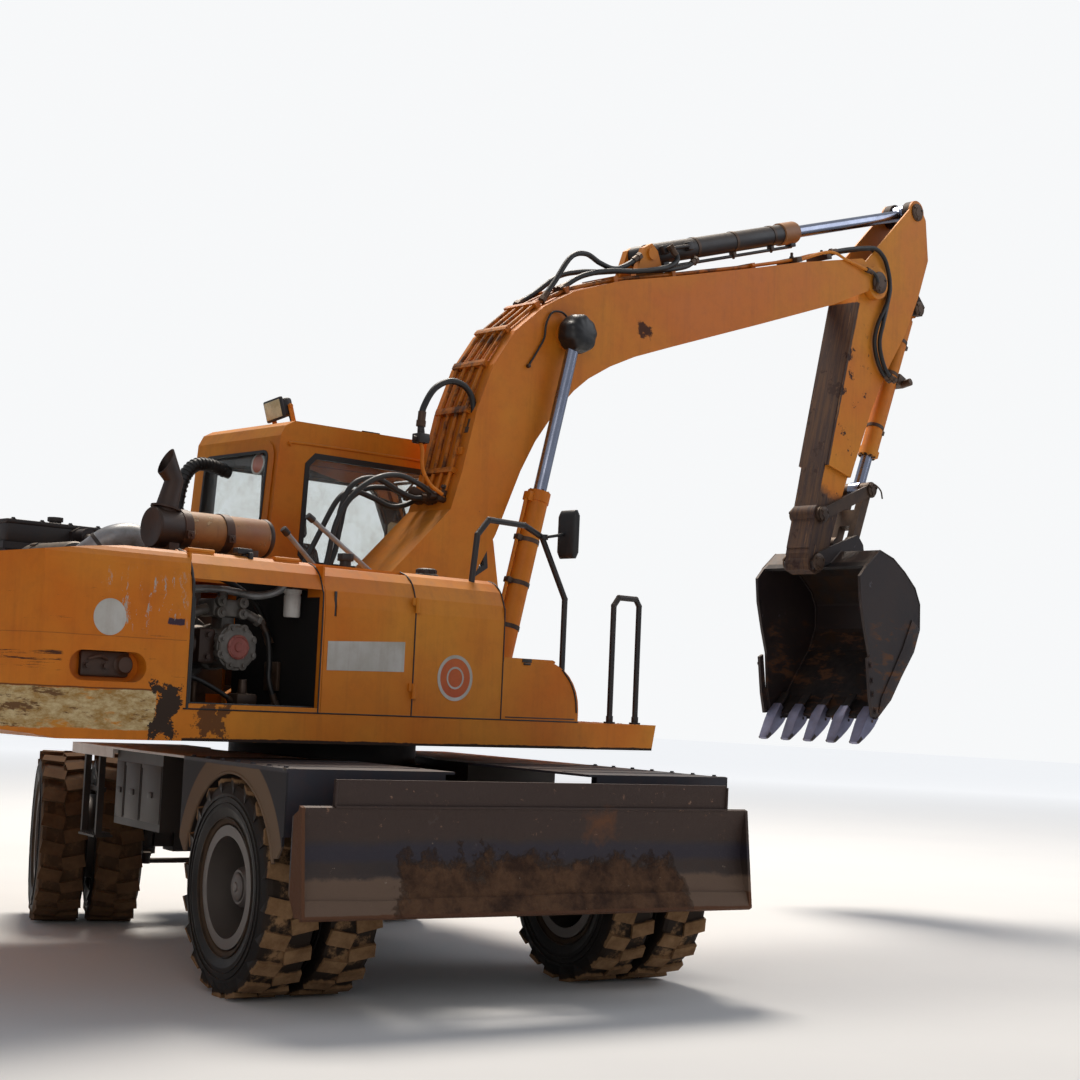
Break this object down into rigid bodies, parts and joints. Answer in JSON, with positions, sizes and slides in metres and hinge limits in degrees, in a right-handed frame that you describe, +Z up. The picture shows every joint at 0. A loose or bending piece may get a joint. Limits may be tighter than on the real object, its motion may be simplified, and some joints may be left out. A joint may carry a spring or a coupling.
{
  "type": "wheeled excavator",
  "caption": "Wheeled digging machine with a slewing upper body, cab, boom, arm and toothed bucket, paired tyres on a steered and a fixed axle, and a dozer blade.",
  "frame": {"origin": "on the ground under the middle of the slewing ring", "axes": "+X the way the boom points as parked, +Y towards the cab side, +Z up; the chassis stands across the boom"},
  "size_m": [8.4613, 4.7327, 5.5904],
  "materials": {
    "chassis_paint": "dusty worn paint",
    "bare_steel_dark": "oily dark steel",
    "deck_plate": "pale dusty tread plate",
    "navy_paint": "scuffed dark blue paint",
    "tyre": "dusty worn rubber",
    "rim": "dirty painted steel",
    "blade_steel": "worn steel with rust and soil",
    "chrome_rod": "polished rod",
    "orange_paint": "faded gloss orange paint",
    "worn_orange": "chipped orange paint over primer",
    "engine_grey": "oily grey casting",
    "rusty_steel": "heat-rusted steel",
    "black_steel": "worn black paint",
    "glass": "dusty tinted glass",
    "seat_fabric": "worn woven fabric",
    "dark_plastic": "moulded plastic",
    "lamp": "yellowed lamp housing and lens",
    "worn_link": "worn greasy steel",
    "bucket_steel": "rusty scraped steel"
  },
  "bodies": {
    "chassis": {"chassis_frame": "chassis_paint", "slew_ring": "bare_steel_dark", "fixed_axle": "chassis_paint", "steer_axle": "chassis_paint", "drive_train": "chassis_paint", "tool_boxes": "chassis_paint", "deck_plates": "deck_plate", "fenders": "navy_paint"},
    "knuckle_left": {"knuckle_left": "chassis_paint"},
    "knuckle_right": {"knuckle_right": "chassis_paint"},
    "tie_rod": {"tie_rod": "chassis_paint"},
    "wheel_steer_left": {"tyres_steer_left": "tyre", "rims_steer_left": "rim"},
    "wheel_steer_right": {"tyres_steer_right": "tyre", "rims_steer_right": "rim"},
    "wheel_blade_left": {"tyres_blade_left": "tyre", "rims_blade_left": "rim"},
    "wheel_blade_right": {"tyres_blade_right": "tyre", "rims_blade_right": "rim"},
    "blade_arms": {"blade_arms": "chassis_paint"},
    "blade_links": {"blade_links": "chassis_paint"},
    "dozer_blade": {"dozer_blade": "blade_steel"},
    "blade_barrels": {"blade_barrels": "chassis_paint"},
    "blade_rods": {"blade_rods": "chrome_rod"},
    "upper": {"upper_frame": "orange_paint", "counterweight": "worn_orange", "pump_bay": "orange_paint", "tank_housing": "orange_paint", "front_toolbox": "orange_paint", "engine": "engine_grey", "pump": "engine_grey", "muffler": "rusty_steel", "cooler_pack": "black_steel", "fan": "bare_steel_dark", "air_cleaner": "engine_grey", "left_housing": "orange_paint", "cab_shell": "orange_paint", "cab_glass": "glass", "seat": "seat_fabric", "console": "dark_plastic", "handrails": "black_steel", "mirrors": "dark_plastic", "work_lamp": "lamp"},
    "right_door": {"right_door": "orange_paint"},
    "left_door": {"left_door": "orange_paint"},
    "toolbox_lid": {"toolbox_lid": "orange_paint"},
    "cab_door": {"cab_door": "orange_paint", "door_glass": "glass"},
    "boom": {"boom": "orange_paint", "boom_pipes": "orange_paint"},
    "boom_barrels": {"boom_barrels": "orange_paint"},
    "boom_rods": {"boom_rods": "chrome_rod"},
    "arm": {"arm": "orange_paint"},
    "arm_barrel": {"arm_barrel": "black_steel"},
    "arm_rod": {"arm_rod": "chrome_rod"},
    "bucket_barrel": {"bucket_barrel": "orange_paint"},
    "bucket_rod": {"bucket_rod": "chrome_rod"},
    "idler_links": {"idler_links": "worn_link"},
    "bucket_link": {"bucket_link": "worn_link"},
    "bucket": {"bucket": "bucket_steel"}
  },
  "joints": [
    {"name": "steer", "type": "hinge", "parent": "chassis", "child": "knuckle_left", "pos_m": [-0.35428, 1.32189, 0.515], "axis": [0, 0, 1], "range_deg": [-16, 44]},
    {"name": "steer_right", "type": "hinge", "parent": "chassis", "child": "knuckle_right", "pos_m": [0.82367, 1.09292, 0.515], "axis": [0, 0, 1], "range_deg": [-18, 46]},
    {"name": "tie_rod_pivot", "type": "hinge", "parent": "knuckle_left", "child": "tie_rod", "pos_m": [-0.43247, 1.15422, 0.415], "axis": [0, 0, 1], "range_deg": [-46, 18]},
    {"name": "wheel_steer_left_spin", "type": "hinge", "parent": "knuckle_left", "child": "wheel_steer_left", "pos_m": [-0.67602, 1.47192, 0.515], "axis": [0.9063, -0.4226, 0], "continuous": true},
    {"name": "wheel_blade_left_spin", "type": "hinge", "parent": "chassis", "child": "wheel_blade_left", "pos_m": [-1.24656, -1.40801, 0.515], "axis": [0.9816, -0.1908, 0], "continuous": true},
    {"name": "wheel_steer_right_spin", "type": "hinge", "parent": "knuckle_right", "child": "wheel_steer_right", "pos_m": [1.14541, 0.94289, 0.515], "axis": [0.9063, -0.4226, 0], "continuous": true},
    {"name": "wheel_blade_right_spin", "type": "hinge", "parent": "chassis", "child": "wheel_blade_right", "pos_m": [0.62834, -1.77246, 0.515], "axis": [0.9816, -0.1908, 0], "continuous": true},
    {"name": "blade_lift", "type": "hinge", "parent": "chassis", "child": "blade_arms", "pos_m": [-0.34061, -1.75226, 0.56763], "axis": [-0.9816, 0.1908, 0], "range_deg": [-54, 0]},
    {"name": "blade_pivot", "type": "hinge", "parent": "blade_arms", "child": "dozer_blade", "pos_m": [-0.43886, -2.25774, 0.64], "axis": [-0.9816, 0.1908, 0], "range_deg": [-2, 56]},
    {"name": "blade_link_pivot", "type": "hinge", "parent": "chassis", "child": "blade_links", "pos_m": [-0.34061, -1.75226, 0.75763], "axis": [-0.9816, 0.1908, 0], "range_deg": [-56, 2]},
    {"name": "blade_barrel_pivot", "type": "hinge", "parent": "chassis", "child": "blade_barrels", "pos_m": [-0.353, -1.81601, 0.95], "axis": [-0.9816, 0.1908, 0], "range_deg": [-25, 2]},
    {"name": "blade_rod_slide", "type": "slide", "parent": "blade_barrels", "child": "blade_rods", "axis": [-0.1165, -0.5991, -0.7922], "range_m": [-0.005, 0.2291]},
    {"name": "slew", "type": "hinge", "parent": "chassis", "child": "upper", "pos_m": [0, 0, 0], "axis": [0, 0, 1], "continuous": true},
    {"name": "right_door_hinge", "type": "hinge", "parent": "upper", "child": "right_door", "pos_m": [-0.356, -1.2485, 1.7], "axis": [0, 0, 1], "range_deg": [0, 110]},
    {"name": "left_door_hinge", "type": "hinge", "parent": "upper", "child": "left_door", "pos_m": [-0.701, 1.2485, 1.7], "axis": [0, 0, -1], "range_deg": [0, 110]},
    {"name": "cab_door_hinge", "type": "hinge", "parent": "upper", "child": "cab_door", "pos_m": [0.422, 1.2485, 1.7], "axis": [0, 0, 1], "range_deg": [0, 120]},
    {"name": "toolbox_lid_hinge", "type": "hinge", "parent": "upper", "child": "toolbox_lid", "pos_m": [0.283, -0.84, 1.698], "axis": [0, -1, 0], "range_deg": [0, 85]},
    {"name": "boom_lift", "type": "hinge", "parent": "upper", "child": "boom", "pos_m": [0.085, -0.035, 1.867], "axis": [0, -1, 0], "range_deg": [-52, 20]},
    {"name": "boom_barrel_pivot", "type": "hinge", "parent": "upper", "child": "boom_barrels", "pos_m": [1.03, -0.035, 1.5], "axis": [0, -1, 0], "range_deg": [-58, 24]},
    {"name": "boom_rod_slide", "type": "slide", "parent": "boom_barrels", "child": "boom_rods", "axis": [0.2406, 0, 0.9706], "range_m": [-0.8379, 0.3254]},
    {"name": "arm_swing", "type": "hinge", "parent": "boom", "child": "arm", "pos_m": [4.907, -0.035, 4.803], "axis": [0, -1, 0], "range_deg": [-19, 92]},
    {"name": "arm_barrel_pivot", "type": "hinge", "parent": "boom", "child": "arm_barrel", "pos_m": [2.472, -0.035, 4.557], "axis": [0, -1, 0], "range_deg": [-5, 15]},
    {"name": "arm_rod_slide", "type": "slide", "parent": "arm_barrel", "child": "arm_rod", "axis": [0.9547, 0, 0.2977], "range_m": [-1.1839, 0.2485]},
    {"name": "bucket_curl", "type": "hinge", "parent": "arm", "child": "bucket", "pos_m": [4.356, -0.035, 2.587], "axis": [0, -1, 0], "range_deg": [-135, 17]},
    {"name": "idler_pivot", "type": "hinge", "parent": "arm", "child": "idler_links", "pos_m": [4.403, -0.035, 2.953], "axis": [0, -1, 0], "range_deg": [-106, 16]},
    {"name": "bucket_link_pivot", "type": "hinge", "parent": "idler_links", "child": "bucket_link", "pos_m": [4.99, -0.035, 3.2], "axis": [0, -1, 0], "range_deg": [-11, 71]},
    {"name": "bucket_barrel_pivot", "type": "hinge", "parent": "arm", "child": "bucket_barrel", "pos_m": [5.58, -0.035, 4.73], "axis": [0, -1, 0], "range_deg": [-3, 3]},
    {"name": "bucket_rod_slide", "type": "slide", "parent": "bucket_barrel", "child": "bucket_rod", "axis": [-0.3598, 0, -0.933], "range_m": [-0.1319, 1.0125]}
  ],
  "couplings": [
    {"joint": "steer_right", "follows": "steer", "ratio": 1},
    {"joint": "tie_rod_pivot", "follows": "steer", "ratio": -1},
    {"joint": "blade_pivot", "follows": "blade_lift", "ratio": -1},
    {"joint": "blade_link_pivot", "follows": "blade_lift", "ratio": 1},
    {"joint": "blade_barrel_pivot", "follows": "blade_lift", "ratio": 0.41939},
    {"joint": "blade_rod_slide", "follows": "blade_lift", "m_per_rad": -0.23773},
    {"joint": "boom_barrel_pivot", "follows": "boom_lift", "ratio": 1.0759},
    {"joint": "boom_rod_slide", "follows": "boom_lift", "m_per_rad": 0.91774},
    {"joint": "arm_barrel_pivot", "follows": "arm_swing", "ratio": 0.13137},
    {"joint": "arm_rod_slide", "follows": "arm_swing", "m_per_rad": -0.7342},
    {"joint": "idler_pivot", "follows": "bucket_curl", "ratio": 0.76604},
    {"joint": "bucket_link_pivot", "follows": "bucket_curl", "ratio": -0.50578},
    {"joint": "bucket_barrel_pivot", "follows": "bucket_curl", "ratio": -0.005095},
    {"joint": "bucket_rod_slide", "follows": "bucket_curl", "m_per_rad": -0.4276}
  ]
}
